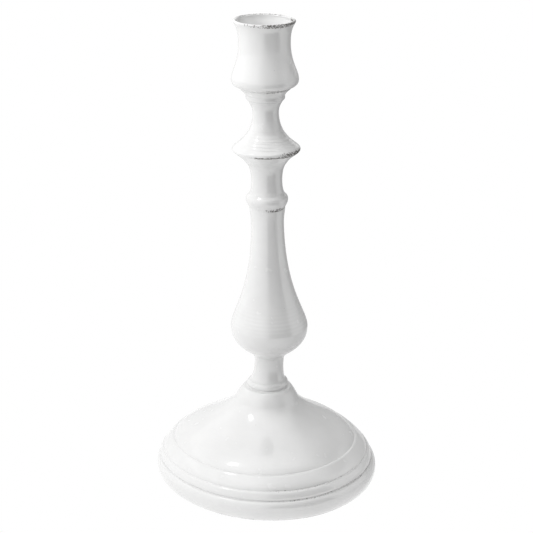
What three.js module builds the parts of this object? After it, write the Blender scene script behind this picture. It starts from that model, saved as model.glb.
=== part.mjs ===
// Hand-built earthenware candlestick: nine sections of dark clay, stacked spigot into socket and
// joined with slip, then dipped in white glaze.
// Millimetres, +Z up. The origin is the middle of the foot, at the level it stands on.
import * as THREE from 'three';

// Joints: a round spigot drops into a socket, and the two shoulders bed on a layer of slip.
const SLIP_THICKNESS = 0.6;
const SLIP_SETBACK = 0.3;
const SPIGOT_RADIUS = 4.4;
const SPIGOT_ENTRY = 6;
const SPIGOT_CLEARANCE = 0.4;
const SOCKET_END_ROOM = 0.5;
const VENT_RADIUS = 1.8;

// Foot: a hollow bell. From the table up: a rounded band, a small torus, an ovolo that ends in a
// ridge, the dish, its flare into the neck, and a round shoulder.
const FOOT_RADIUS = 66.7;
const FOOT_REST_TUCK = 2.6;
const FOOT_REST_WIDTH = 6;
const FOOT_WALL = 5.2;
const BAND_BELLY_LEVEL = 7;
const BAND_HEIGHT = 12.3;
const BAND_STEP = 1.8;
const TORUS_HEIGHT = 5.3;
const TORUS_STEP = 2.4;
const OVOLO_HEIGHT = 6.6;
const OVOLO_WIDTH = 6.4;
const RIDGE_WIDTH = 1.2;
const RIDGE_RISE = 0.5;
const DISH_RADIUS = 33;
const DISH_RISE = 13.9;
const FLARE_RADIUS = 18.6;
const FLARE_RISE = 12.4;
const SHOULDER_RADIUS = 14.4;
const SHOULDER_RISE = 6.6;
const HOLLOW_CEILING_RADIUS = 6;
const HOLLOW_CEILING_THICKNESS = 5;

// Foot ring: a small round-edged ring on the bell's shoulder.
const FOOT_RING_HEIGHT = 3.8;
const FOOT_RING_RADIUS = 12.3;
const FOOT_RING_BASE_RADIUS = 11.9;
const FOOT_RING_TOP_RADIUS = 10.7;
const FOOT_RING_CREST_LEVEL = 1.4;

// Lower neck: a waisted stub.
const LOWER_NECK_HEIGHT = 16.1;
const LOWER_NECK_BASE_RADIUS = 10.2;
const LOWER_NECK_WAIST_RADIUS = 8.7;
const LOWER_NECK_WAIST_LEVEL = 9.4;
const LOWER_NECK_TOP_RADIUS = 10.6;

// Baluster: the pear of the stem, and the hollow inside it.
const BALUSTER_HEIGHT = 90.5;
const BALUSTER_BASE_RADIUS = 11.3;
const BALUSTER_BELLY_RADIUS = 23;
const BALUSTER_BELLY_LEVEL = 17;
const BALUSTER_WAIST_RADIUS = 9.6;
const BALUSTER_WAIST_DROP = 9;
const BALUSTER_TOP_RADIUS = 10.6;
const BALUSTER_WALL = 9.6;
const CAVITY_NECK_RADIUS = 3.6;
const CAVITY_FLOOR_LEVEL = 5;

// Bead ring: a half-round bead.
const BEAD_HEIGHT = 8.6;
const BEAD_RADIUS = 12.3;
const BEAD_CREST_LEVEL = 5.2;
const BEAD_EDGE_RADIUS = 10.4;

// Upper neck: waisted, and flared at the top to meet the collar.
const UPPER_NECK_HEIGHT = 17.6;
const UPPER_NECK_BASE_RADIUS = 9.8;
const UPPER_NECK_WAIST_RADIUS = 9.05;
const UPPER_NECK_WAIST_LEVEL = 6.2;
const UPPER_NECK_TOP_RADIUS = 11.9;

// Drip collar: flared under its rim and coned above it.
const COLLAR_HEIGHT = 19;
const COLLAR_BASE_RADIUS = 12.2;
const COLLAR_RADIUS = 19.8;
const COLLAR_RIM_LEVEL = 6.2;
const COLLAR_RIM_THICKNESS = 2.8;
const COLLAR_RIM_ROUND = 0.8;
const COLLAR_TOP_RADIUS = 9.8;

// Cup neck: the thinnest waist.
const CUP_NECK_HEIGHT = 16.4;
const CUP_NECK_BASE_RADIUS = 9.4;
const CUP_NECK_WAIST_RADIUS = 7.6;
const CUP_NECK_WAIST_LEVEL = 9.1;
const CUP_NECK_TOP_RADIUS = 9.8;

// Candle cup: a tulip on a small bead, with a straight bore for the candle and a flared mouth.
const CUP_HEIGHT = 45.6;
const CUP_BASE_RADIUS = 10.6;
const CUP_BEAD_RADIUS = 11.9;
const CUP_BEAD_HEIGHT = 2.2;
const CUP_BEAD_RECESS = 0.3;
const CUP_BELLY_RADIUS = 19.3;
const CUP_BELLY_LEVEL = 11.6;
const CUP_WAIST_DROP = 13;
const CUP_WALL = 3.5;
const CUP_RIM_RADIUS = 17.8;
const CUP_RIM_THICKNESS = 2;
const CUP_RIM_ROUND = 0.9;
const CANDLE_BORE_RADIUS = 11.3;
const CANDLE_BORE_DEPTH = 30;
const MOUTH_DEPTH = 14;

// Fineness of the turned surfaces.
const FOOT_SEGMENTS = 40;
const STEM_SEGMENTS = 24;
const CURVE_STEPS = 4;

const SOCKET_RADIUS = SPIGOT_RADIUS + SPIGOT_CLEARANCE;
const SOCKET_DEPTH = SPIGOT_ENTRY + SOCKET_END_ROOM;
const RIDGE_LEVEL = BAND_HEIGHT + TORUS_HEIGHT + OVOLO_HEIGHT;
const FOOT_HEIGHT = RIDGE_LEVEL + RIDGE_RISE + DISH_RISE + FLARE_RISE + SHOULDER_RISE;

const candlestick = new THREE.Group();
const glazeColour = new THREE.Color(0.93, 0.93, 0.92);
const clayColour = new THREE.Color(0.16, 0.14, 0.13);

// Turns an outline into a round solid, and stands it at its level in the candlestick.
function addTurned(name, outline, level, segments, color, roughness) {
  const geometry = new THREE.LatheGeometry(outline.getPoints(CURVE_STEPS), segments);
  geometry.rotateX(Math.PI / 2);
  const material = new THREE.MeshStandardMaterial({ color, roughness, metalness: 0 });
  const mesh = new THREE.Mesh(geometry, material);
  mesh.name = name;
  mesh.position.z = level;
  candlestick.add(mesh);
}

function addSection(name, outline, level, segments = STEM_SEGMENTS) {
  addTurned(name, outline, level, segments, glazeColour, 0.12);
}

// Curves to a radius and a level. The curve leaves towards one bend and arrives from the other,
// and a bend is given as shares of the way across and of the way up, so it follows the sizes.
function curveTo(outline, radius, level, leave, arrive) {
  const from = outline.currentPoint.clone();
  const run = radius - from.x;
  const rise = level - from.y;
  outline.bezierCurveTo(
    from.x + leave[0] * run, from.y + leave[1] * rise,
    from.x + arrive[0] * run, from.y + arrive[1] * rise,
    radius, level);
}

// Starts an outline at the lower end of a pierced spigot. The shoulder is at level 0.
function startAtSpigot(reach) {
  const outline = new THREE.Path();
  outline.moveTo(VENT_RADIUS, -reach);
  outline.lineTo(SPIGOT_RADIUS, -reach);
  outline.lineTo(SPIGOT_RADIUS, 0);
  return outline;
}

// Goes in along the top shoulder and down to the socket's floor, as far in as the vent.
function lineIntoSocket(outline, top) {
  outline.lineTo(SOCKET_RADIUS, top);
  outline.lineTo(SOCKET_RADIUS, top - SOCKET_DEPTH);
  outline.lineTo(VENT_RADIUS, top - SOCKET_DEPTH);
}

// Foot: the outside goes up from the table, and the hollow comes down again inside it.
function addFoot(level) {
  const restRadius = FOOT_RADIUS - FOOT_REST_TUCK;
  const bandRadius = FOOT_RADIUS - BAND_STEP;
  const torusRadius = bandRadius - TORUS_STEP;
  const ridgeRadius = torusRadius - OVOLO_WIDTH;
  const dishLevel = RIDGE_LEVEL + RIDGE_RISE + DISH_RISE;
  const ceiling = FOOT_HEIGHT - SOCKET_DEPTH - HOLLOW_CEILING_THICKNESS;

  const outline = new THREE.Path();
  outline.moveTo(restRadius - FOOT_REST_WIDTH, 0);
  outline.lineTo(restRadius, 0);
  curveTo(outline, FOOT_RADIUS, BAND_BELLY_LEVEL, [0.46, 0.14], [1, 0.5]);
  curveTo(outline, bandRadius, BAND_HEIGHT, [0, 0.57], [0.44, 0.81]);
  curveTo(outline, torusRadius, BAND_HEIGHT + TORUS_HEIGHT, [-0.5, 0.19], [0.5, 0.89]);
  curveTo(outline, ridgeRadius, RIDGE_LEVEL, [0, 0.21], [0.69, 0.73]);
  outline.lineTo(ridgeRadius - RIDGE_WIDTH, RIDGE_LEVEL + RIDGE_RISE);
  curveTo(outline, DISH_RADIUS, dishLevel, [0.21, 0.41], [0.6, 0.62]);
  curveTo(outline, FLARE_RADIUS, dishLevel + FLARE_RISE, [0.56, 0.4], [0.89, 0.73]);
  curveTo(outline, SHOULDER_RADIUS, FOOT_HEIGHT, [0.24, 0.33], [0.67, 0.91]);
  lineIntoSocket(outline, FOOT_HEIGHT);
  outline.lineTo(VENT_RADIUS, ceiling);
  outline.lineTo(HOLLOW_CEILING_RADIUS, ceiling);
  curveTo(outline, DISH_RADIUS - FOOT_WALL / 2, dishLevel - FOOT_WALL, [0.3, 0], [0.64, 0.67]);
  curveTo(outline, bandRadius - FOOT_WALL, BAND_HEIGHT, [0.36, 0.21], [0.7, 0.54]);
  outline.closePath();
  addSection('foot', outline, level, FOOT_SEGMENTS);
}

// Foot ring: threaded on the lower neck's spigot.
function addFootRing(level) {
  const outline = new THREE.Path();
  outline.moveTo(SOCKET_RADIUS, 0);
  outline.lineTo(FOOT_RING_BASE_RADIUS, 0);
  curveTo(outline, FOOT_RING_RADIUS, FOOT_RING_CREST_LEVEL, [0, 0.3], [1, 0.5]);
  curveTo(outline, FOOT_RING_TOP_RADIUS, FOOT_RING_HEIGHT, [0, 0.56], [0.63, 1]);
  outline.lineTo(SOCKET_RADIUS, FOOT_RING_HEIGHT);
  outline.closePath();
  addSection('foot_ring', outline, level);
}

// Lower neck: its spigot goes through the foot ring into the foot.
function addLowerNeck(level) {
  const outline = startAtSpigot(SPIGOT_ENTRY + FOOT_RING_HEIGHT + 2 * SLIP_THICKNESS);
  outline.lineTo(LOWER_NECK_BASE_RADIUS, 0);
  curveTo(outline, LOWER_NECK_WAIST_RADIUS, LOWER_NECK_WAIST_LEVEL, [0.47, 0.11], [1, 0.57]);
  curveTo(outline, LOWER_NECK_TOP_RADIUS, LOWER_NECK_HEIGHT, [0, 0.66], [0.05, 0.73]);
  lineIntoSocket(outline, LOWER_NECK_HEIGHT);
  outline.closePath();
  addSection('lower_neck', outline, level);
}

// Baluster: hollow, so that it dries and fires without cracking. The vent drains the hollow.
function addBaluster(level) {
  const waistLevel = BALUSTER_HEIGHT - BALUSTER_WAIST_DROP;
  const socketFloor = BALUSTER_HEIGHT - SOCKET_DEPTH;
  const cavityRadius = BALUSTER_BELLY_RADIUS - BALUSTER_WALL;

  const outline = startAtSpigot(SPIGOT_ENTRY);
  outline.lineTo(BALUSTER_BASE_RADIUS, 0);
  curveTo(outline, BALUSTER_BELLY_RADIUS, BALUSTER_BELLY_LEVEL, [0.56, 0.27], [1, 0.5]);
  curveTo(outline, BALUSTER_WAIST_RADIUS, waistLevel, [0, 0.13], [1, 0.36]);
  curveTo(outline, BALUSTER_TOP_RADIUS, BALUSTER_HEIGHT, [0, 0.45], [1, 0.9]);
  outline.lineTo(SOCKET_RADIUS, BALUSTER_HEIGHT);
  outline.lineTo(SOCKET_RADIUS, socketFloor);
  outline.lineTo(CAVITY_NECK_RADIUS, socketFloor);
  curveTo(outline, cavityRadius, BALUSTER_BELLY_LEVEL, [0, 0.63], [1, 0.87]);
  curveTo(outline, VENT_RADIUS, CAVITY_FLOOR_LEVEL, [0, 0.67], [1, 0.83]);
  outline.closePath();
  addSection('baluster', outline, level);
}

// Bead ring: threaded on the upper neck's spigot.
function addBeadRing(level) {
  const outline = new THREE.Path();
  outline.moveTo(SOCKET_RADIUS, 0);
  outline.lineTo(BEAD_EDGE_RADIUS, 0);
  curveTo(outline, BEAD_RADIUS, BEAD_CREST_LEVEL, [0.26, 0.31], [1, 0.54]);
  curveTo(outline, BEAD_EDGE_RADIUS, BEAD_HEIGHT, [0, 0.56], [0.79, 0.82]);
  outline.lineTo(SOCKET_RADIUS, BEAD_HEIGHT);
  outline.closePath();
  addSection('bead_ring', outline, level);
}

// Upper neck: its spigot goes through the bead ring into the baluster.
function addUpperNeck(level) {
  const outline = startAtSpigot(SPIGOT_ENTRY + BEAD_HEIGHT + 2 * SLIP_THICKNESS);
  outline.lineTo(UPPER_NECK_BASE_RADIUS, 0);
  curveTo(outline, UPPER_NECK_WAIST_RADIUS, UPPER_NECK_WAIST_LEVEL, [0, 0.16], [1, 0.52]);
  curveTo(outline, UPPER_NECK_TOP_RADIUS, UPPER_NECK_HEIGHT, [0, 0.61], [0.47, 0.87]);
  lineIntoSocket(outline, UPPER_NECK_HEIGHT);
  outline.closePath();
  addSection('upper_neck', outline, level);
}

// Drip collar: catches the wax. Its edge is rounded above and below.
function addDripCollar(level) {
  const faceRadius = COLLAR_RADIUS - COLLAR_RIM_ROUND;
  const rimMiddle = COLLAR_RIM_LEVEL + COLLAR_RIM_THICKNESS / 2;
  const rimTop = COLLAR_RIM_LEVEL + COLLAR_RIM_THICKNESS;

  const outline = startAtSpigot(SPIGOT_ENTRY);
  outline.lineTo(COLLAR_BASE_RADIUS, 0);
  curveTo(outline, faceRadius, COLLAR_RIM_LEVEL, [0.21, 0.39], [0.74, 0.76]);
  curveTo(outline, COLLAR_RADIUS, rimMiddle, [0.6, 0.3], [1, 0.6]);
  curveTo(outline, faceRadius, rimTop, [0, 0.4], [0.4, 0.7]);
  curveTo(outline, COLLAR_TOP_RADIUS, COLLAR_HEIGHT, [0.43, 0.39], [0.83, 0.68]);
  lineIntoSocket(outline, COLLAR_HEIGHT);
  outline.closePath();
  addSection('drip_collar', outline, level);
}

// Cup neck: between the collar and the cup.
function addCupNeck(level) {
  const outline = startAtSpigot(SPIGOT_ENTRY);
  outline.lineTo(CUP_NECK_BASE_RADIUS, 0);
  curveTo(outline, CUP_NECK_WAIST_RADIUS, CUP_NECK_WAIST_LEVEL, [0.44, 0.18], [1, 0.52]);
  curveTo(outline, CUP_NECK_TOP_RADIUS, CUP_NECK_HEIGHT, [0, 0.49], [0.59, 0.78]);
  lineIntoSocket(outline, CUP_NECK_HEIGHT);
  outline.closePath();
  addSection('cup_neck', outline, level);
}

// Candle cup: its spigot is solid, so no wax runs down inside the stem.
function addCandleCup(level) {
  const beadEdge = CUP_BEAD_RADIUS - CUP_BEAD_RECESS;
  const waistRadius = CANDLE_BORE_RADIUS + CUP_WALL;
  const waistLevel = CUP_HEIGHT - CUP_WAIST_DROP;
  const rimLevel = CUP_HEIGHT - CUP_RIM_ROUND;
  const mouthRadius = CUP_RIM_RADIUS - CUP_RIM_THICKNESS;
  const boreFloor = CUP_HEIGHT - CANDLE_BORE_DEPTH;

  const outline = new THREE.Path();
  outline.moveTo(0, -SPIGOT_ENTRY);
  outline.lineTo(SPIGOT_RADIUS, -SPIGOT_ENTRY);
  outline.lineTo(SPIGOT_RADIUS, 0);
  outline.lineTo(CUP_BASE_RADIUS, 0);
  curveTo(outline, CUP_BEAD_RADIUS, CUP_BEAD_HEIGHT / 2, [0.6, 0], [1, 0.5]);
  curveTo(outline, beadEdge, CUP_BEAD_HEIGHT, [0, 0.5], [0.6, 0.9]);
  curveTo(outline, CUP_BELLY_RADIUS, CUP_BELLY_LEVEL, [0.52, 0.2], [1, 0.37]);
  curveTo(outline, waistRadius, waistLevel, [0, 0.24], [1, 0.43]);
  curveTo(outline, CUP_RIM_RADIUS, rimLevel, [0, 0.66], [0.67, 0.82]);
  curveTo(outline, CUP_RIM_RADIUS - CUP_RIM_ROUND, CUP_HEIGHT, [0, 0.6], [0.5, 1]);
  curveTo(outline, mouthRadius, rimLevel, [0.55, 0], [1, 0.5]);
  curveTo(outline, CANDLE_BORE_RADIUS, CUP_HEIGHT - MOUTH_DEPTH, [0, 0.16], [1, 0.46]);
  outline.lineTo(CANDLE_BORE_RADIUS, boreFloor);
  outline.lineTo(0, boreFloor);
  addSection('candle_cup', outline, level);
}

// A flat layer of slip, squeezed between two shoulders. It stops just short of their edges.
function addSlip(name, level, shoulderRadius) {
  const radius = shoulderRadius - SLIP_SETBACK;
  const outline = new THREE.Path();
  outline.moveTo(SOCKET_RADIUS, 0);
  outline.lineTo(radius, 0);
  outline.lineTo(radius, SLIP_THICKNESS);
  outline.lineTo(SOCKET_RADIUS, SLIP_THICKNESS);
  outline.closePath();
  addTurned(name, outline, level, STEM_SEGMENTS, clayColour, 0.8);
}

// The stack, from the table up. Base and shoulder are a section's radii at its two ends.
const sections = [
  { name: 'foot', add: addFoot, height: FOOT_HEIGHT, base: FOOT_RADIUS, shoulder: SHOULDER_RADIUS },
  { name: 'ring', add: addFootRing, height: FOOT_RING_HEIGHT, base: FOOT_RING_BASE_RADIUS,
    shoulder: FOOT_RING_TOP_RADIUS },
  { name: 'lower_neck', add: addLowerNeck, height: LOWER_NECK_HEIGHT, base: LOWER_NECK_BASE_RADIUS,
    shoulder: LOWER_NECK_TOP_RADIUS },
  { name: 'baluster', add: addBaluster, height: BALUSTER_HEIGHT, base: BALUSTER_BASE_RADIUS,
    shoulder: BALUSTER_TOP_RADIUS },
  { name: 'bead', add: addBeadRing, height: BEAD_HEIGHT, base: BEAD_EDGE_RADIUS,
    shoulder: BEAD_EDGE_RADIUS },
  { name: 'upper_neck', add: addUpperNeck, height: UPPER_NECK_HEIGHT, base: UPPER_NECK_BASE_RADIUS,
    shoulder: UPPER_NECK_TOP_RADIUS },
  { name: 'collar', add: addDripCollar, height: COLLAR_HEIGHT, base: COLLAR_BASE_RADIUS,
    shoulder: COLLAR_TOP_RADIUS },
  { name: 'cup_neck', add: addCupNeck, height: CUP_NECK_HEIGHT, base: CUP_NECK_BASE_RADIUS,
    shoulder: CUP_NECK_TOP_RADIUS },
  { name: 'cup', add: addCandleCup, height: CUP_HEIGHT, base: CUP_BASE_RADIUS },
];

let level = 0;
let below = null;
for (const section of sections) {
  if (below) {
    const shoulderRadius = Math.min(below.shoulder, section.base);
    addSlip(`slip_${below.name}_to_${section.name}`, level, shoulderRadius);
    level += SLIP_THICKNESS;
  }
  section.add(level);
  level += section.height;
  below = section;
}

export default candlestick;
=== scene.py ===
import math

import bmesh
import bpy
import numpy as np
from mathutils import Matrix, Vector


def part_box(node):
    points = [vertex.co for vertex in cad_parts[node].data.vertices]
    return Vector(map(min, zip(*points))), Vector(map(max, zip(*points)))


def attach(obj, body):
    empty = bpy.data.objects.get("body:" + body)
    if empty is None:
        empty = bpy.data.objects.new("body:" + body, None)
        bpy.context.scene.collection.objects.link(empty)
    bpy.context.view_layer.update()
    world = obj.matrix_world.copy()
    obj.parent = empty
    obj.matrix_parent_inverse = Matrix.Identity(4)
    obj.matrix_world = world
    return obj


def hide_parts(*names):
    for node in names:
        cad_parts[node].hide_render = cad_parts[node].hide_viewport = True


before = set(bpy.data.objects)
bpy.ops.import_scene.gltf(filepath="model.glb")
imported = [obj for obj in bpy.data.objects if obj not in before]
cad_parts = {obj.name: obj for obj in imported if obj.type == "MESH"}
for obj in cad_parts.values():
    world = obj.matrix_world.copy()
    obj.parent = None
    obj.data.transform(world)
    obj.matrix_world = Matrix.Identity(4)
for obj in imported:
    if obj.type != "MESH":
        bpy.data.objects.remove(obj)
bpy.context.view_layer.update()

# FOOT. A hollow bell of dark clay, thrown on the wheel and turned when it was leather hard. Its edge is
# three mouldings under a wide dish. White glaze is poured over it, inside and out, and wiped off the
# ring that it stands on. It is a little out of round and leans, because it was lifted while wet.
MM = 0.001


def top_of(node):
    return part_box(node)[1].z / MM


def widest(node):
    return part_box(node)[1].x / MM


SPIGOT_RADIUS = 4.4
SOCKET_RADIUS = 4.8
SOCKET_DEPTH = 6.5
VENT_RADIUS = 1.8
JOINT_LIP = 0.28
JOINT_LIFT = 0.295
JOINT_CHAMFER = 0.03
JOINT_STEP = 0.35
CURVE_STEP = 0.8
FEWEST_POINTS = 7


class Outline:
    """Half of a section's cross-section, in millimetres: radius, and level above its lower shoulder.
    It starts low and inside, and goes outwards, up and back in. step is how far apart the points of
    its curves are, and ripple is how deep the throwing rings are from there on."""

    def __init__(self, radius, level):
        self.points = [(radius, level)]
        self.ripples = [0.0]
        self.ripple = 0.0
        self.step = CURVE_STEP

    def line(self, radius, level):
        self.points.append((radius, level))
        self.ripples.append(self.ripple)

    def curve(self, radius, level, leave, arrive):
        """A bend is given as shares of the way across and of the way up."""
        start = np.array(self.points[-1])
        end = np.array((radius, level))
        way = end - start
        first = start + way * np.array(leave)
        second = start + way * np.array(arrive)
        count = max(FEWEST_POINTS, math.ceil(np.linalg.norm(way) / self.step))
        for t in np.arange(1, count + 1) / count:
            s = 1 - t
            point = s**3 * start + 3 * s * s * t * first + 3 * s * t * t * second + t**3 * end
            self.line(float(point[0]), float(point[1]))

    def lower_lip(self, edge, joint):
        """Under a section, the glaze runs down past the shoulder and half covers the slip."""
        self.line(joint - JOINT_LIP, 0)
        self.line(joint - JOINT_LIP, -JOINT_LIFT)
        self.line(joint - JOINT_CHAMFER, -JOINT_LIFT)
        self.line(joint, -JOINT_LIFT + JOINT_CHAMFER)
        if edge > joint + JOINT_STEP:
            self.curve(edge, 0, (0.2, 0.9), (0.8, 0.8))
        else:
            self.line(edge, 0)

    def upper_lip(self, edge, joint, top):
        """Over a section, the glaze stands up past the shoulder and meets the next one's."""
        if edge > joint + JOINT_STEP:
            self.curve(joint, top + JOINT_LIFT - JOINT_CHAMFER, (0.2, 0.2), (0.8, 0.1))
        else:
            self.line(joint, top + JOINT_LIFT - JOINT_CHAMFER)
        self.ripple = 0.0
        self.line(joint - JOINT_CHAMFER, top + JOINT_LIFT)
        self.line(joint - JOINT_LIP, top + JOINT_LIFT)
        self.line(joint - JOINT_LIP, top)

    def socket(self, top):
        self.line(SOCKET_RADIUS, top)
        self.line(SOCKET_RADIUS, top - SOCKET_DEPTH)


FOOT_RADIUS = widest("foot")
FOOT_TOP = top_of("foot")
FOOT_SHOULDER_RADIUS = 14.4
FOOT_NECK_RADIUS = 13.6
FOOT_SOCKET_FLOOR = 5
FOOT_HOLLOW_CEILING = FOOT_TOP - SOCKET_DEPTH - FOOT_SOCKET_FLOOR
FOOT_RING_BASE = 11.9
GLAZED_RINGS = 0.03
INSIDE_RINGS = 0.08

foot_outline = Outline(58.1, 0)
foot_outline.line(58.9, 0)
foot_outline.line(63.4, 0)
foot_outline.line(64.1, 0.25)
foot_outline.ripple = GLAZED_RINGS
foot_outline.step = 0.7
foot_outline.curve(FOOT_RADIUS, 7, (0.46, 0.14), (1, 0.5))
foot_outline.curve(64.8, 11.9, (0, 0.57), (0.44, 0.81))
foot_outline.curve(63.9, 12.5, (0.5, 0.3), (1, 0.5))
foot_outline.curve(62.6, 17.2, (-1.05, 0.16), (0.5, 0.9))
foot_outline.curve(61.7, 17.8, (0.5, 0.3), (1, 0.5))
foot_outline.curve(56.3, 24.1, (-0.02, 0.24), (0.69, 0.75))
foot_outline.curve(54.8, 24.6, (0.4, 0.75), (0.8, 1))
foot_outline.step = 0.9
foot_outline.curve(33, 38.6, (0.21, 0.41), (0.6, 0.62))
foot_outline.curve(18.6, 51, (0.56, 0.4), (0.89, 0.73))
foot_outline.curve(FOOT_SHOULDER_RADIUS, FOOT_TOP - 0.4, (0.24, 0.33), (0.8, 0.9))
foot_outline.curve(FOOT_NECK_RADIUS, FOOT_TOP, (0.1, 0.7), (0.5, 1))
foot_outline.upper_lip(FOOT_NECK_RADIUS, FOOT_RING_BASE, FOOT_TOP)
foot_outline.socket(FOOT_TOP)
foot_outline.line(VENT_RADIUS, FOOT_TOP - SOCKET_DEPTH)
foot_outline.line(VENT_RADIUS, FOOT_HOLLOW_CEILING)
foot_outline.ripple = INSIDE_RINGS
foot_outline.step = 1.6
foot_outline.curve(6, FOOT_HOLLOW_CEILING, (0.3, 0), (0.6, 0))
foot_outline.curve(30.4, 33.4, (0.3, 0), (0.64, 0.67))
foot_outline.curve(59.7, 12.3, (0.36, 0.21), (0.7, 0.54))
foot_outline.curve(58.3, 0.6, (0.33, 0.3), (0.9, 0.7))

FOOT_OUT_OF_ROUND = ((2, -0.0026, -0.0083), (3, -0.0065, 0.0033), (4, 0.0049, -0.0025))
FOOT_FULL_SIDE = 0.011
FOOT_FULL_ANGLE = math.radians(-66)
FOOT_FULL_WIDTH = math.radians(17)
FOOT_SHIFT = 0.87
FOOT_SHIFT_SLOPE = -0.0765
FOOT_LEAN_ENDS = (20, 45)
BELLY_LEAN = 1.6
BELLY_LEVEL = 95
STEM_LEAN_SLOPE = -0.0162
STEM_LEAN_STARTS = (45, 85)
STEM_TO_DISH = (14, 54)
STEM_OVAL = 0.0045
STEM_OVAL_TWIST = 0.05
STEM_OVAL_TURN = 0.6
STEM_LOBES = 0.003
STEM_LOBES_TWIST = -0.09
STEM_LOBES_TURN = 2.1
RIM_TILT = -0.012
RIM_TILT_STARTS = (255, 280)


def soft_step(values, low, high):
    """0 below low, 1 above high, and a smooth rise between."""
    share = np.clip((values - low) / (high - low), 0, 1)
    return share * share * (3 - 2 * share)


def handmade(x, y, z):
    """Moves points, in millimetres, from where a lathe would leave them to where the hand left them."""
    angle = np.arctan2(y, x)
    wide = soft_step(np.hypot(x, y), *STEM_TO_DISH)
    swell = wide * FOOT_FULL_SIDE * np.exp(-(((angle - FOOT_FULL_ANGLE) / FOOT_FULL_WIDTH) ** 2))
    for lobes, cosine, sine in FOOT_OUT_OF_ROUND:
        swell = swell + wide * (cosine * np.cos(lobes * angle) + sine * np.sin(lobes * angle))
    narrow = 1 - wide
    swell = swell + narrow * STEM_OVAL * np.sin(2 * angle + z * STEM_OVAL_TWIST + STEM_OVAL_TURN)
    swell = swell + narrow * STEM_LOBES * np.sin(3 * angle + z * STEM_LOBES_TWIST + STEM_LOBES_TURN)
    foot_lean = (FOOT_SHIFT + FOOT_SHIFT_SLOPE * z) * (1 - soft_step(z, *FOOT_LEAN_ENDS))
    stem_lean = BELLY_LEAN + STEM_LEAN_SLOPE * (z - BELLY_LEVEL)
    stem_lean = stem_lean * soft_step(z, *STEM_LEAN_STARTS)
    tilt = RIM_TILT * x * soft_step(z, *RIM_TILT_STARTS)
    return x * (1 + swell) + foot_lean + stem_lean, y * (1 + swell), z + tilt


FOOT_SEGMENTS = 256
SHARP_EDGE = math.radians(35)
RING_PITCH = 2.3
RING_FADE = 0.4
RING_FADE_LENGTH = 7.3
RING_FADE_START = 1.1
WELD_DISTANCE = 1e-6
NO_LENGTH = 1e-9


def weld_poles(mesh):
    """Where an outline starts or ends on the axis, its ring of points becomes one point."""
    work = bmesh.new()
    work.from_mesh(mesh)
    bmesh.ops.remove_doubles(work, verts=work.verts, dist=WELD_DISTANCE)
    work.to_mesh(mesh)
    work.free()


def turn(name, outline, level, segments, closed=True):
    """Spins an outline round the axis, presses the throwing rings in, and warps it by hand. The
    points also keep where the wheel had them, so that the glaze is laid out true."""
    profile = np.array(outline.points)
    ahead = np.roll(profile, -1, 0) - np.roll(profile, 1, 0)
    length = np.maximum(np.linalg.norm(ahead, axis=1), NO_LENGTH)
    outward = np.stack([ahead[:, 1] / length, -ahead[:, 0] / length], 1)
    arc = np.cumsum(np.linalg.norm(np.diff(profile, axis=0, prepend=profile[:1]), axis=1))
    angles = np.arange(segments) * (2 * math.pi / segments)
    wave = np.sin(2 * math.pi * arc[:, None] / RING_PITCH + angles[None, :])
    fade = np.sin(arc[:, None] / RING_FADE_LENGTH + RING_FADE_START)
    wave = wave * (1 - RING_FADE + RING_FADE * fade)
    push = np.array(outline.ripples)[:, None] * wave
    radius = profile[:, :1] + outward[:, :1] * push
    height = profile[:, 1:] + outward[:, 1:] * push + level
    x = radius * np.cos(angles)
    y = radius * np.sin(angles)
    thrown = np.stack([x, y, height], -1).reshape(-1, 3)
    made = np.stack(handmade(x, y, height), -1).reshape(-1, 3) * MM
    rings = len(profile)
    row = np.arange(rings if closed else rings - 1)[:, None] * segments
    above = (row + segments) % (rings * segments)
    here = np.arange(segments)[None, :]
    beside = (here + 1) % segments
    faces = np.stack([row + here, row + beside, above + beside, above + here], -1).reshape(-1, 4)
    mesh = bpy.data.meshes.new(name)
    mesh.from_pydata(made.tolist(), [], faces.tolist())
    mesh.attributes.new("thrown", "FLOAT_VECTOR", "POINT").data.foreach_set("vector", thrown.ravel())
    if not closed:
        weld_poles(mesh)
    mesh.shade_smooth()
    mesh.set_sharp_from_angle(angle=SHARP_EDGE)
    piece = bpy.data.objects.new(name, mesh)
    bpy.context.scene.collection.objects.link(piece)
    return piece


foot = turn("foot_bell", foot_outline, 0, FOOT_SEGMENTS)


class Wire:
    """One output of a node. Sums written with it add Math nodes."""

    def __init__(self, recipe, socket):
        self.recipe = recipe
        self.socket = socket

    def math(self, operation, *values):
        return self.recipe.node("ShaderNodeMath", {"operation": operation}, dict(enumerate(values)))

    def __add__(self, other):
        return self.math("ADD", self, other)

    def __radd__(self, other):
        return self.math("ADD", other, self)

    def __sub__(self, other):
        return self.math("SUBTRACT", self, other)

    def __rsub__(self, other):
        return self.math("SUBTRACT", other, self)

    def __mul__(self, other):
        return self.math("MULTIPLY", self, other)

    def __rmul__(self, other):
        return self.math("MULTIPLY", other, self)

    def __truediv__(self, other):
        return self.math("DIVIDE", self, other)

    def __rtruediv__(self, other):
        return self.math("DIVIDE", other, self)

    def __abs__(self):
        return self.math("ABSOLUTE", self)

    def rise(self, low, high):
        """0 at low, 1 at high, smooth between. It falls where low is above high."""
        return self.recipe.node(
            "ShaderNodeMapRange",
            {"interpolation_type": "SMOOTHSTEP"},
            {"Value": self, "From Min": low, "From Max": high},
        )


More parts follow.
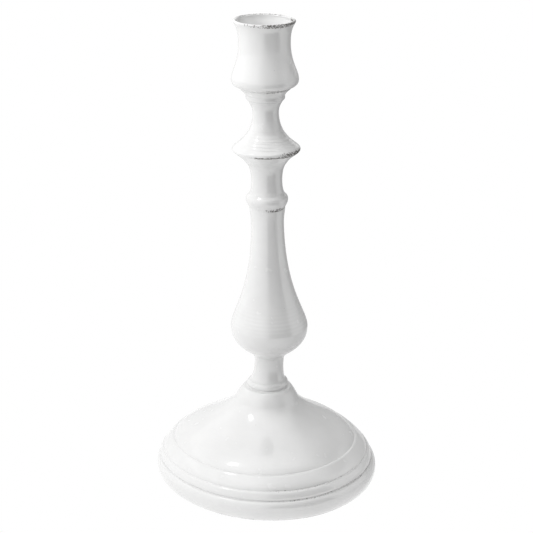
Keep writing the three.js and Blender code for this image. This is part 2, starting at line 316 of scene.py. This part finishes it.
class Recipe:
    """The nodes of a material or a world. Each comes from node(): its type, its settings, and what
    goes into its sockets, which is a wire or a value."""

    def __init__(self, owner):
        self.owner = owner
        owner.use_nodes = True
        self.tree = owner.node_tree
        self.tree.nodes.clear()

    def node(self, kind, settings, sockets, output=0):
        made = self.tree.nodes.new(kind)
        for setting, value in settings.items():
            setattr(made, setting, value)
        for name, value in sockets.items():
            if isinstance(value, Wire):
                self.tree.links.new(value.socket, made.inputs[name])
            else:
                made.inputs[name].default_value = value
        return Wire(self, made.outputs[output]) if len(made.outputs) else made

    def noise(self, place, scale, detail=2.0, roughness=0.5):
        sockets = {"Vector": place, "Scale": scale, "Detail": detail, "Roughness": roughness}
        return self.node("ShaderNodeTexNoise", {}, sockets)

    def mix(self, share, first, second):
        """Two colours, mixed by share. The Mix node has its colours at sockets 6 and 7, and at 2."""
        return self.node("ShaderNodeMix", {"data_type": "RGBA"}, {0: share, 6: first, 7: second}, 2)

    def finish(self, sockets):
        shader = self.node("ShaderNodeBsdfPrincipled", {}, sockets)
        self.node("ShaderNodeOutputMaterial", {}, {"Surface": shader})
        return self.owner


GLAZE_WHITE = (0.8, 0.8, 0.797, 1)
GLAZE_CLOUDED = (0.76, 0.76, 0.757, 1)
GLAZE_THIN_AND_SHADE = (0.46, 0.455, 0.45, 1)
GLAZE_ROUGHNESS = 0.22
GLAZE_ROUGHNESS_DRIFT = 0.06
GLAZE_GLOSS = 0.9
CLAY_DARK = (0.06, 0.055, 0.052, 1)
CLAY_DUSTY = (0.2, 0.19, 0.18, 1)
CLAY_ROUGHNESS = 0.8
CLOUD_SCALE = 0.045
DRIFT_SCALE = 0.16
GRIT_SCALE = 1.15
PINHOLE_SCALE = 0.17
PINHOLE_PATCHES = 0.05
PEEL_SCALE = 0.55
POOL_SCALE = 0.12
CLOUD_SHARE = 0.7
PINHOLE_BARE = 0.8
THIN_AND_SHADE_SHARE = 0.8
BEADING = 0.3
SIDE_FADE = 0.2
POOL_DEPTH = 3.0
CLAY_STEP = 2.5
CLAY_GRAIN = 3.0
SURFACE_DEPTH = 0.00003


def glaze(name, bands_bare_and_shaded=()):
    """White tin glaze. Its bands are edges where it drew back and the clay shows, and a few where grey
    is painted in as shade:
    level, height, the side it faces in degrees, how far round it goes as a cosine, and how much of it is
    bare."""
    recipe = Recipe(bpy.data.materials.new(name))
    thrown = recipe.node("ShaderNodeAttribute", {"attribute_name": "thrown"}, {}, "Vector")
    x = recipe.node("ShaderNodeSeparateXYZ", {}, {0: thrown}, "X")
    y = recipe.node("ShaderNodeSeparateXYZ", {}, {0: thrown}, "Y")
    z = recipe.node("ShaderNodeSeparateXYZ", {}, {0: thrown}, "Z")
    radius = x.math("SQRT", x * x + y * y)
    cloud = recipe.noise(thrown, CLOUD_SCALE, 3.0).rise(0.35, 0.7)
    drift = recipe.noise(thrown, DRIFT_SCALE, 2.0).rise(0.4, 0.75)
    grit = recipe.noise(thrown, GRIT_SCALE, 4.0, 0.75)
    flecks = grit.rise(0.28, 0.72) + BEADING
    pore_sockets = {"Vector": thrown, "Scale": PINHOLE_SCALE}
    pores = recipe.node("ShaderNodeTexVoronoi", {}, pore_sockets, "Distance")
    pinhole_patches = recipe.noise(thrown, PINHOLE_PATCHES, 1.0).rise(0.54, 0.64)
    pinholes = pores.rise(0.04, 0.022) * pinhole_patches
    bare = pinholes * PINHOLE_BARE
    thin_and_shaded = pinholes
    for level, height, facing, reach, ragged in bands_bare_and_shaded:
        near = (abs(z - level) / height).rise(1.0, 0.3)
        across = x * math.cos(math.radians(facing)) + y * math.sin(math.radians(facing))
        side = (across / radius).rise(reach - SIDE_FADE, reach + SIDE_FADE)
        edge = near * side * (ragged + BEADING) - flecks
        bare = bare.math("MAXIMUM", bare, edge.rise(0.0, 0.16))
        thin_and_shaded = thin_and_shaded.math("MAXIMUM", thin_and_shaded, edge.rise(-0.22, 0.1))
    clouded = cloud * CLOUD_SHARE + drift * (1 - CLOUD_SHARE)
    colour = recipe.mix(clouded, GLAZE_WHITE, GLAZE_CLOUDED)
    # Thin glaze shows grey here. The same grey is also painted shade, in the bands that stand for shade.
    colour = recipe.mix(thin_and_shaded * THIN_AND_SHADE_SHARE, colour, GLAZE_THIN_AND_SHADE)
    colour = recipe.mix(bare, colour, recipe.mix(grit, CLAY_DARK, CLAY_DUSTY))
    smooth = GLAZE_ROUGHNESS + drift * GLAZE_ROUGHNESS_DRIFT
    roughness = smooth + bare * (CLAY_ROUGHNESS - GLAZE_ROUGHNESS)
    pools = recipe.noise(thrown, POOL_SCALE, 1.0) * POOL_DEPTH
    peel = recipe.noise(thrown, PEEL_SCALE, 2.0) + pools
    surface = peel - bare * CLAY_STEP + grit * bare * CLAY_GRAIN
    bump_sockets = {"Strength": 0.5, "Distance": SURFACE_DEPTH, "Height": surface}
    return recipe.finish(
        {
            "Base Color": colour,
            "Roughness": roughness,
            "Coat Weight": (1 - bare) * GLAZE_GLOSS,
            "Coat Roughness": 0.05,
            "Coat IOR": 1.65,
            "IOR": 1.6,
            "Normal": recipe.node("ShaderNodeBump", {}, bump_sockets),
        }
    )


foot_glaze = glaze(
    "foot_glaze",
    [
        (-0.3, 0.6, 0.0, -2.0, 1.2),
        (0.0, 1.0, -50, 0.5, 0.75),
        (0.0, 1.6, -108, 0.975, 0.9),
        # The next two bands are painted shade: grey in the two grooves of the mouldings, on the front
        # right side.
        (12.4, 0.9, -25, 0.4, 0.24),
        (17.7, 0.9, -25, 0.4, 0.22),
    ],
)


def place(piece, node, slot, material):
    """The piece stands for its CAD node and stays with the rest of the candlestick."""
    piece.data.materials.append(material)
    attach(piece, "root")
    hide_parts(node)


place(foot, "foot", "white_glaze", foot_glaze)

# SLIP. The same dark clay, let down with water to a paste. It is brushed on the shoulders before
# the sections go together, and what squeezes out is wiped away. So each is a flat ring between
# two shoulders.
STEM_SEGMENTS = 144
SLIP_INSET = 0.07
SLIP_ROUGHNESS = 0.85
SLIP_ROUGHNESS_DRIFT = 0.2
SLIP_GRAIN_SCALE = 2.2
SLIP_GRAIN_DEPTH = 0.0001
LOWER_NECK_BASE = 10.4
NECK_TOP = 10.9
BEAD_EDGE = 10.5
UPPER_NECK_BASE = 10.1
UPPER_NECK_TOP = 12.05
CUP_NECK_BASE = 9.6
CUP_NECK_TOP = 10.2
SLIP_JOINTS = {
    "slip_foot_to_ring": FOOT_RING_BASE,
    "slip_ring_to_lower_neck": LOWER_NECK_BASE,
    "slip_lower_neck_to_baluster": NECK_TOP,
    "slip_baluster_to_bead": BEAD_EDGE,
    "slip_bead_to_upper_neck": UPPER_NECK_BASE,
    "slip_upper_neck_to_collar": UPPER_NECK_TOP,
    "slip_collar_to_cup_neck": CUP_NECK_BASE,
    "slip_cup_neck_to_cup": CUP_NECK_TOP,
}
slip_recipe = Recipe(bpy.data.materials.new("dark_slip"))
slip_place = slip_recipe.node("ShaderNodeAttribute", {"attribute_name": "thrown"}, {}, "Vector")
slip_grain = slip_recipe.noise(slip_place, SLIP_GRAIN_SCALE, 4.0, 0.65)
slip_bump_sockets = {"Strength": 0.6, "Distance": SLIP_GRAIN_DEPTH, "Height": slip_grain}
dark_slip = slip_recipe.finish(
    {
        "Base Color": slip_recipe.mix(slip_grain, CLAY_DARK, CLAY_DUSTY),
        "Roughness": SLIP_ROUGHNESS - slip_grain * SLIP_ROUGHNESS_DRIFT,
        "Normal": slip_recipe.node("ShaderNodeBump", {}, slip_bump_sockets),
    }
)
for slip_name, slip_joint in SLIP_JOINTS.items():
    slip_low, slip_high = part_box(slip_name)
    slip_base = slip_low.z / MM
    slip_depth = slip_high.z / MM - slip_base
    slip_edge = slip_joint - JOINT_LIP - SLIP_INSET
    slip_outline = Outline(SOCKET_RADIUS, 0)
    slip_outline.line(slip_edge, 0)
    slip_outline.curve(slip_edge, slip_depth, (0, 0.3), (0, 0.7))
    slip_outline.line(SOCKET_RADIUS, slip_depth)
    slip = turn(slip_name + "_ring", slip_outline, slip_base, STEM_SEGMENTS)
    place(slip, slip_name, "dark_clay", dark_slip)

# FOOT RING. A small ring with a rounded edge that sits on the bell's shoulder. It is thrown as a
# collar, cut off, and threaded on the lower neck's spigot with slip above and below.
RING_CREST = widest("foot_ring")
RING_LEVEL = top_of("slip_foot_to_ring")
RING_HEIGHT = top_of("foot_ring") - RING_LEVEL
RING_SHOULDER = 10.8
FINE_STEP = 0.5

ring_outline = Outline(SOCKET_RADIUS, 0)
ring_outline.step = FINE_STEP
ring_outline.lower_lip(FOOT_RING_BASE, FOOT_RING_BASE)
ring_outline.curve(RING_CREST, 1.4, (0, 0.3), (1, 0.5))
ring_outline.curve(RING_SHOULDER, RING_HEIGHT - 0.1, (0, 0.56), (0.63, 0.96))
ring_outline.upper_lip(RING_SHOULDER, LOWER_NECK_BASE, RING_HEIGHT)
ring_outline.line(SOCKET_RADIUS, RING_HEIGHT)

foot_ring = turn("foot_ring_turned", ring_outline, RING_LEVEL, STEM_SEGMENTS)
ring_glaze = glaze("foot_ring_glaze", [(RING_LEVEL + 1.2, 1.6, -4, 0.97, 0.72)])
place(foot_ring, "foot_ring", "white_glaze", ring_glaze)

# LOWER NECK. A waisted stub that lifts the baluster off the bell. It is turned from a thick
# coil, and its long spigot goes down through the ring into the bell.
NECK_LEVEL = top_of("slip_ring_to_lower_neck")
NECK_HEIGHT = top_of("lower_neck") - NECK_LEVEL
NECK_SPIGOT = 11
NECK_TUCK = 0.1
NECK_SLANT = 0.25


def spigot(reach):
    """An outline that starts at the lower end of a spigot with a vent through it."""
    outline = Outline(VENT_RADIUS, -reach)
    outline.line(SPIGOT_RADIUS, -reach)
    outline.line(SPIGOT_RADIUS, 0)
    return outline


neck_outline = spigot(NECK_SPIGOT)
neck_outline.lower_lip(LOWER_NECK_BASE - NECK_TUCK, LOWER_NECK_BASE)
neck_outline.ripple = GLAZED_RINGS
neck_outline.curve(8.7, 9.4, (0.47, 0.11), (1, 0.57))
neck_outline.curve(NECK_TOP - NECK_SLANT, NECK_HEIGHT, (0, 0.66), (0.1, 0.8))
neck_outline.upper_lip(NECK_TOP - NECK_SLANT, NECK_TOP, NECK_HEIGHT)
neck_outline.socket(NECK_HEIGHT)
neck_outline.line(VENT_RADIUS, NECK_HEIGHT - SOCKET_DEPTH)

lower_neck = turn("lower_neck_turned", neck_outline, NECK_LEVEL, STEM_SEGMENTS)
place(lower_neck, "lower_neck", "white_glaze", glaze("lower_neck_glaze"))

# BALUSTER. The long pear of the stem, thrown hollow as a closed form so that it dries and fires
# without cracking. A small vent in its floor lets the air out into the foot.
BALUSTER_LEVEL = top_of("slip_lower_neck_to_baluster")
BALUSTER_HEIGHT = top_of("baluster") - BALUSTER_LEVEL
BALUSTER_BELLY = widest("baluster")
SHORT_SPIGOT = 6
BALUSTER_HOLLOW_BELLY = 13.4
BALUSTER_HOLLOW_TOP = 3.6
BALUSTER_FLOOR = 5
BELLY_HEIGHT = 17

baluster_outline = spigot(SHORT_SPIGOT)
baluster_outline.lower_lip(NECK_TOP + NECK_SLANT, NECK_TOP)
baluster_outline.ripple = 0.035
baluster_outline.curve(BALUSTER_BELLY, BELLY_HEIGHT, (0.56, 0.27), (1, 0.5))
baluster_outline.curve(9.6, BALUSTER_HEIGHT - 9, (0, 0.13), (1, 0.36))
baluster_outline.curve(BEAD_EDGE, BALUSTER_HEIGHT, (0, 0.45), (1, 0.9))
baluster_outline.upper_lip(BEAD_EDGE, BEAD_EDGE, BALUSTER_HEIGHT)
baluster_outline.socket(BALUSTER_HEIGHT)
baluster_outline.line(BALUSTER_HOLLOW_TOP, BALUSTER_HEIGHT - SOCKET_DEPTH)
baluster_outline.step = 2.4
baluster_outline.ripple = 0.1
baluster_outline.curve(BALUSTER_HOLLOW_BELLY, BELLY_HEIGHT, (0, 0.63), (1, 0.87))
baluster_outline.curve(VENT_RADIUS, BALUSTER_FLOOR, (0, 0.67), (1, 0.83))

baluster = turn("baluster_thrown", baluster_outline, BALUSTER_LEVEL, STEM_SEGMENTS)
baluster_top_level = BALUSTER_LEVEL + BALUSTER_HEIGHT
baluster_glaze = glaze("baluster_glaze", [(baluster_top_level + 0.3, 0.7, -56, 0.86, 0.56)])
place(baluster, "baluster", "white_glaze", baluster_glaze)

# BEAD RING. A half-round bead under the upper neck, turned as a ring and threaded on the neck's
# spigot. The glaze draws back from its lower edge and leaves a thin dark line.
BEAD_LEVEL = top_of("slip_baluster_to_bead")
BEAD_HEIGHT = top_of("bead_ring") - BEAD_LEVEL
BEAD_CREST = widest("bead_ring")
BEAD_SLANT = 0.1

bead_outline = Outline(SOCKET_RADIUS, 0)
bead_outline.step = FINE_STEP
bead_outline.lower_lip(BEAD_EDGE, BEAD_EDGE)
bead_outline.curve(BEAD_CREST, 5.2, (0.26, 0.31), (1, 0.54))
bead_outline.curve(UPPER_NECK_BASE + BEAD_SLANT, BEAD_HEIGHT, (0, 0.56), (0.86, 0.72))
bead_outline.upper_lip(UPPER_NECK_BASE + BEAD_SLANT, UPPER_NECK_BASE, BEAD_HEIGHT)
bead_outline.line(SOCKET_RADIUS, BEAD_HEIGHT)

bead_ring = turn("bead_ring_turned", bead_outline, BEAD_LEVEL, STEM_SEGMENTS)
bead_glaze = glaze("bead_glaze", [(BEAD_LEVEL + 0.4, 1.4, -58, 0.76, 0.56)])
place(bead_ring, "bead_ring", "white_glaze", bead_glaze)

# UPPER NECK. A waisted length that flares at the top to carry the collar. Its long spigot goes down
# through the bead into the baluster.
UPPER_LEVEL = top_of("slip_bead_to_upper_neck")
UPPER_HEIGHT = top_of("upper_neck") - UPPER_LEVEL
UPPER_SPIGOT = 15.8
UPPER_TUCK = 0.13
UPPER_SLANT = 0.25

upper_outline = spigot(UPPER_SPIGOT)
upper_outline.lower_lip(UPPER_NECK_BASE - UPPER_TUCK, UPPER_NECK_BASE)
upper_outline.ripple = GLAZED_RINGS
upper_outline.curve(9.05, 6.2, (0.5, 0.16), (1, 0.52))
upper_outline.curve(UPPER_NECK_TOP - UPPER_SLANT, UPPER_HEIGHT, (0, 0.61), (0.5, 0.85))
upper_outline.upper_lip(UPPER_NECK_TOP - UPPER_SLANT, UPPER_NECK_TOP, UPPER_HEIGHT)
upper_outline.socket(UPPER_HEIGHT)
upper_outline.line(VENT_RADIUS, UPPER_HEIGHT - SOCKET_DEPTH)

upper_neck = turn("upper_neck_turned", upper_outline, UPPER_LEVEL, STEM_SEGMENTS)
place(upper_neck, "upper_neck", "white_glaze", glaze("upper_neck_glaze"))

# DRIP COLLAR. A flared ring that catches the wax, coned above so that it drains outwards. The glaze
# pulled away from its sharp rim in the kiln, and the dark clay shows there, mostly at one side.
COLLAR_LEVEL = top_of("slip_upper_neck_to_collar")
COLLAR_HEIGHT = top_of("drip_collar") - COLLAR_LEVEL
COLLAR_RADIUS = widest("drip_collar")
COLLAR_RIM_LEVEL = 6.2
COLLAR_RIM_ROOT = 19
COLLAR_SLANT = 0.22
CONE_RINGS = 0.14
CUP_NECK_SLANT = 0.12

collar_outline = spigot(SHORT_SPIGOT)
collar_outline.lower_lip(UPPER_NECK_TOP + COLLAR_SLANT, UPPER_NECK_TOP)
collar_outline.curve(COLLAR_RIM_ROOT, COLLAR_RIM_LEVEL, (0.21, 0.39), (0.74, 0.76))
collar_outline.curve(COLLAR_RADIUS, 7.6, (0.6, 0.3), (1, 0.6))
collar_outline.curve(COLLAR_RIM_ROOT, 9, (0, 0.4), (0.4, 0.7))
collar_outline.ripple = CONE_RINGS
collar_outline.step = 0.4
collar_outline.curve(12.2, 15.2, (0.33, 0.3), (0.72, 0.6))
collar_outline.ripple = GLAZED_RINGS
collar_outline.curve(CUP_NECK_BASE + CUP_NECK_SLANT, COLLAR_HEIGHT, (0.45, 0.4), (0.85, 0.66))
collar_outline.upper_lip(CUP_NECK_BASE + CUP_NECK_SLANT, CUP_NECK_BASE, COLLAR_HEIGHT)
collar_outline.socket(COLLAR_HEIGHT)
collar_outline.line(VENT_RADIUS, COLLAR_HEIGHT - SOCKET_DEPTH)

collar = turn("drip_collar_turned", collar_outline, COLLAR_LEVEL, STEM_SEGMENTS)
collar_rim_level = COLLAR_LEVEL + COLLAR_RIM_LEVEL
collar_glaze = glaze(
    "collar_glaze",
    [
        (collar_rim_level + 0.4, 0.9, -78, 0.76, 0.7),
        (collar_rim_level + 1.0, 2.9, -28, 0.76, 0.64),
        (collar_rim_level + 1.0, 1.2, 100, 0.45, 0.5),
    ],
)
place(collar, "drip_collar", "white_glaze", collar_glaze)

# CUP NECK. The thinnest waist of the stem, between the collar and the cup. It is turned solid but
# for its vent, and joined like the others.
CUP_NECK_LEVEL = top_of("slip_collar_to_cup_neck")
CUP_NECK_HEIGHT = top_of("cup_neck") - CUP_NECK_LEVEL

cup_neck_outline = spigot(SHORT_SPIGOT)
cup_neck_outline.lower_lip(CUP_NECK_BASE - CUP_NECK_SLANT, CUP_NECK_BASE)
cup_neck_outline.ripple = GLAZED_RINGS
cup_neck_outline.curve(7.6, 9.1, (0.44, 0.18), (1, 0.52))
cup_neck_outline.curve(CUP_NECK_TOP, CUP_NECK_HEIGHT, (0, 0.49), (0.59, 0.78))
cup_neck_outline.upper_lip(CUP_NECK_TOP, CUP_NECK_TOP, CUP_NECK_HEIGHT)
cup_neck_outline.socket(CUP_NECK_HEIGHT)
cup_neck_outline.line(VENT_RADIUS, CUP_NECK_HEIGHT - SOCKET_DEPTH)

cup_neck = turn("cup_neck_turned", cup_neck_outline, CUP_NECK_LEVEL, STEM_SEGMENTS)
place(cup_neck, "cup_neck", "white_glaze", glaze("cup_neck_glaze"))

# CANDLE CUP. A tulip on a small bead, thrown with a straight bore that a candle pushes into and a
# flared mouth. Its spigot is solid. The glaze drew back from the outer edge of its rim. Under its
# belly, grey is painted in on the front right as shade.
CUP_LEVEL = top_of("slip_cup_neck_to_cup")
CUP_HEIGHT = top_of("candle_cup") - CUP_LEVEL
CUP_BELLY = widest("candle_cup")
CUP_BASE = 10.7
BORE_RADIUS = 11.3
BORE_DEPTH = 30
BORE_FLOOR = CUP_HEIGHT - BORE_DEPTH
BORE_CORNER = 1.2
RIM_ROUND = 0.9

cup_outline = Outline(0, -SHORT_SPIGOT)
cup_outline.line(SPIGOT_RADIUS, -SHORT_SPIGOT)
cup_outline.line(SPIGOT_RADIUS, 0)
cup_outline.lower_lip(CUP_BASE, CUP_NECK_TOP)
cup_outline.step = FINE_STEP
cup_outline.curve(11.3, 1.4, (0.6, 0), (1, 0.5))
cup_outline.curve(11.6, 3.0, (0, 0.6), (0, 0.8))
cup_outline.curve(15.0, 6.6, (0.3, 0.5), (0.8, 0.8))
cup_outline.curve(15.4, 7.2, (-0.7, 0.4), (0.5, 0.6))
cup_outline.step = CURVE_STEP
cup_outline.ripple = GLAZED_RINGS
cup_outline.curve(CUP_BELLY, 11.6, (0.52, 0.2), (1, 0.37))
cup_outline.curve(14.8, CUP_HEIGHT - 13, (0, 0.24), (1, 0.43))
cup_outline.curve(17.8, CUP_HEIGHT - RIM_ROUND, (0, 0.66), (0.67, 0.82))
cup_outline.ripple = 0.0
cup_outline.curve(16.9, CUP_HEIGHT, (0, 0.6), (0.5, 1))
cup_outline.curve(15.8, CUP_HEIGHT - RIM_ROUND, (0.55, 0), (1, 0.5))
cup_outline.ripple = 0.05
cup_outline.curve(BORE_RADIUS, CUP_HEIGHT - 14, (0, 0.16), (1, 0.46))
cup_outline.ripple = GLAZED_RINGS
cup_outline.curve(BORE_RADIUS, BORE_FLOOR + BORE_CORNER, (0, 0.3), (0, 0.7))
cup_outline.curve(BORE_RADIUS - BORE_CORNER, BORE_FLOOR, (0, 0.6), (0.4, 1))
cup_outline.ripple = INSIDE_RINGS
cup_outline.curve(0, BORE_FLOOR, (0.3, 0), (0.7, 0))

candle_cup = turn("candle_cup_thrown", cup_outline, CUP_LEVEL, STEM_SEGMENTS, closed=False)
cup_rim_level = CUP_LEVEL + CUP_HEIGHT
cup_glaze = glaze(
    "cup_glaze",
    [
        (cup_rim_level - 0.7, 1.2, -20, 0.76, 0.78),
        (cup_rim_level - 0.9, 2.2, -62, 0.78, 0.6),
        (cup_rim_level - 1.0, 1.4, -112, 0.9, 0.48),
        (cup_rim_level - 0.1, 0.5, 100, 0.5, 0.4),
        # Painted shade: a grey band under the belly, on the front right side.
        (CUP_LEVEL + 7.4, 2.4, -52, 0.7, 0.4),
    ],
)
place(candle_cup, "candle_cup", "white_glaze", cup_glaze)

# FLOOR. A plain white floor that glows evenly, so that it shows no shadow.
# It isn't part of the candlestick.
FLOOR_REACH = 6.0
PALE = (1, 1, 1, 1)
BLACK = (0, 0, 0, 1)


def stage(name, points, faces, light, strength):
    """Something of the studio's that only glows. light makes its colour from its recipe."""
    mesh = bpy.data.meshes.new(name)
    mesh.from_pydata(points, [], faces)
    thing = bpy.data.objects.new(name, mesh)
    bpy.context.scene.collection.objects.link(thing)
    recipe = Recipe(bpy.data.materials.new(name + "_glow"))
    sockets = {
        "Base Color": BLACK,
        "Roughness": 1.0,
        "Specular IOR Level": 0.0,
        "Emission Color": light(recipe),
        "Emission Strength": strength,
    }
    mesh.materials.append(recipe.finish(sockets))
    return thing


def even_light(recipe):
    return PALE


floor_corners = [
    (-FLOOR_REACH, -FLOOR_REACH, 0),
    (FLOOR_REACH, -FLOOR_REACH, 0),
    (FLOOR_REACH, FLOOR_REACH, 0),
    (-FLOOR_REACH, FLOOR_REACH, 0),
]
stage("floor", floor_corners, [(0, 1, 2, 3)], even_light, 1.0)

# LIGHT. A white tent over the table, brightest at the left and overhead, with a low screen round the
# candlestick. The screen is black at the front right, which shades that side and shows in the glaze.
# A patch of the tent is an azimuth, an elevation, the cosines where it starts and is full, and its glow.
DOME_RADIUS = 3.0
DOME_GLOW = 3.0
DOME_EVEN = 1.1
DOME_LEFT = -65
DOME_LEAN = 0.46
DOME_PATCHES = ((26, 32, 0.66, 0.95, -0.7), (128, 33, 0.86, 0.96, -0.5), (0, 75, 0.78, 1.0, 0.6))
SCREEN_FOOT = 0.26
SCREEN_RADIUS = 0.4
SCREEN_TOP = 0.24
SCREEN_GLOW = 2.0
SCREEN_EVEN = 0.9
SCREEN_LEFT = -60
SCREEN_LEAN = 0.2
SCREEN_PATCHES = ((34, 0, 0.76, 0.92, -1.4), (142, 0, 0.75, 0.95, -0.35), (92, 0, 0.8, 0.97, 0.2))
TABLE_FROM = 0.072
TABLE_LEVEL = 0.001
TABLE_PATCHES = ((122, 0, 0.2, 0.9, -0.32),)
TENT_SIDES = 72
TENT_RINGS = 12
TENT_CROWN = 89.5


def aim(azimuth, elevation):
    """A direction from the candlestick: azimuth is 0 at the front and 90 at the right, in degrees."""
    turned = math.radians(azimuth)
    raised = math.radians(elevation)
    return (
        math.sin(turned) * math.cos(raised),
        -math.cos(turned) * math.cos(raised),
        math.sin(raised),
    )


def toward(recipe, ray, azimuth, elevation):
    """How near a ray is to that direction, as a cosine."""
    sockets = {0: ray, 1: aim(azimuth, elevation)}
    return recipe.node("ShaderNodeVectorMath", {"operation": "DOT_PRODUCT"}, sockets, "Value")


def ray_to(recipe, upright):
    """The direction to a point of the tent. It is level where upright is 0, and true where it is 1."""
    place = recipe.node("ShaderNodeTexCoord", {}, {}, "Object")
    sockets = {0: place, 1: (1, 1, upright)}
    kept = recipe.node("ShaderNodeVectorMath", {"operation": "MULTIPLY"}, sockets)
    return recipe.node("ShaderNodeVectorMath", {"operation": "NORMALIZE"}, {0: kept})


def patched(recipe, ray, glow, patches):
    """A glow with its darker and brighter patches."""
    for azimuth, elevation, start, full, amount in patches:
        glow = glow + toward(recipe, ray, azimuth, elevation).rise(start, full) * amount
    return glow


def dome_light(recipe):
    ray = ray_to(recipe, 1)
    glow = toward(recipe, ray, DOME_LEFT, 0) * DOME_LEAN + DOME_EVEN
    return recipe.mix(patched(recipe, ray, glow, DOME_PATCHES) / DOME_GLOW, BLACK, PALE)


def screen_light(recipe):
    ray = ray_to(recipe, 0)
    glow = toward(recipe, ray, SCREEN_LEFT, 0) * SCREEN_LEAN + SCREEN_EVEN
    return recipe.mix(patched(recipe, ray, glow, SCREEN_PATCHES) / SCREEN_GLOW, BLACK, PALE)


def table_light(recipe):
    return recipe.mix(patched(recipe, ray_to(recipe, 0), 1, TABLE_PATCHES), BLACK, PALE)


def tent(name, levels, light, strength):
    """A surface round the candlestick, through rings given as radius and level. The camera can't see
    it, and it glows by its light and strength."""
    points = []
    for radius, level in levels:
        for side in range(TENT_SIDES):
            angle = side * 2 * math.pi / TENT_SIDES
            points.append((radius * math.cos(angle), radius * math.sin(angle), level))
    faces = []
    for ring in range(len(levels) - 1):
        for side in range(TENT_SIDES):
            here = ring * TENT_SIDES + side
            beside = ring * TENT_SIDES + (side + 1) % TENT_SIDES
            faces.append((here, beside, beside + TENT_SIDES, here + TENT_SIDES))
    stage(name, points, faces, light, strength).visible_camera = False


dome_angles = [math.radians(90 * ring / TENT_RINGS) for ring in range(TENT_RINGS)]
dome_angles.append(math.radians(TENT_CROWN))
dome_levels = [(DOME_RADIUS * math.cos(angle), DOME_RADIUS * math.sin(angle)) for angle in dome_angles]
screen_levels = [(SCREEN_FOOT, TABLE_LEVEL), (SCREEN_RADIUS, TABLE_LEVEL), (SCREEN_RADIUS, SCREEN_TOP)]
table_levels = [(TABLE_FROM, TABLE_LEVEL), (SCREEN_FOOT, TABLE_LEVEL)]
tent("tent_dome", dome_levels, dome_light, DOME_GLOW)
tent("tent_screen", screen_levels, screen_light, SCREEN_GLOW)
tent("tent_table", table_levels, table_light, 1.0)

world = bpy.data.worlds.new("studio")
bpy.context.scene.world = world
backdrop = Recipe(world)
pale = backdrop.node("ShaderNodeBackground", {}, {"Color": PALE, "Strength": 1.0})
backdrop.node("ShaderNodeOutputWorld", {}, {"Surface": pale})

WINDOW_DISTANCE = 1.5
WINDOW_SIZE = (0.16, 0.24)
WINDOW_POWER = 0.75
WINDOW_AZIMUTH = -75
WINDOW_ELEVATION = 61
window_data = bpy.data.lights.new("window", "AREA")
window_data.shape = "RECTANGLE"
window_data.size, window_data.size_y = WINDOW_SIZE
window_data.energy = WINDOW_POWER
window = bpy.data.objects.new("window", window_data)
window_way = Vector(aim(WINDOW_AZIMUTH, WINDOW_ELEVATION))
window.location = window_way * WINDOW_DISTANCE
window.rotation_euler = window_way.to_track_quat("Z", "Y").to_euler()
window.visible_camera = False
bpy.context.scene.collection.objects.link(window)

# CAMERA. It looks slightly down on the candlestick from the front.
CAMERA_BACK = 0.9068
CAMERA_HEIGHT = 0.4547
CAMERA_PITCH = 0.34069
CAMERA_LENS = 110.25
CAMERA_SENSOR = 36
camera_data = bpy.data.cameras.new("camera")
camera_data.lens = CAMERA_LENS
camera_data.sensor_width = CAMERA_SENSOR
camera = bpy.data.objects.new("camera", camera_data)
camera.location = (0, -CAMERA_BACK, CAMERA_HEIGHT)
camera.rotation_euler = (math.pi / 2 - CAMERA_PITCH, 0, 0)
bpy.context.scene.collection.objects.link(camera)
bpy.context.scene.camera = camera
bpy.context.scene.view_settings.view_transform = "Standard"
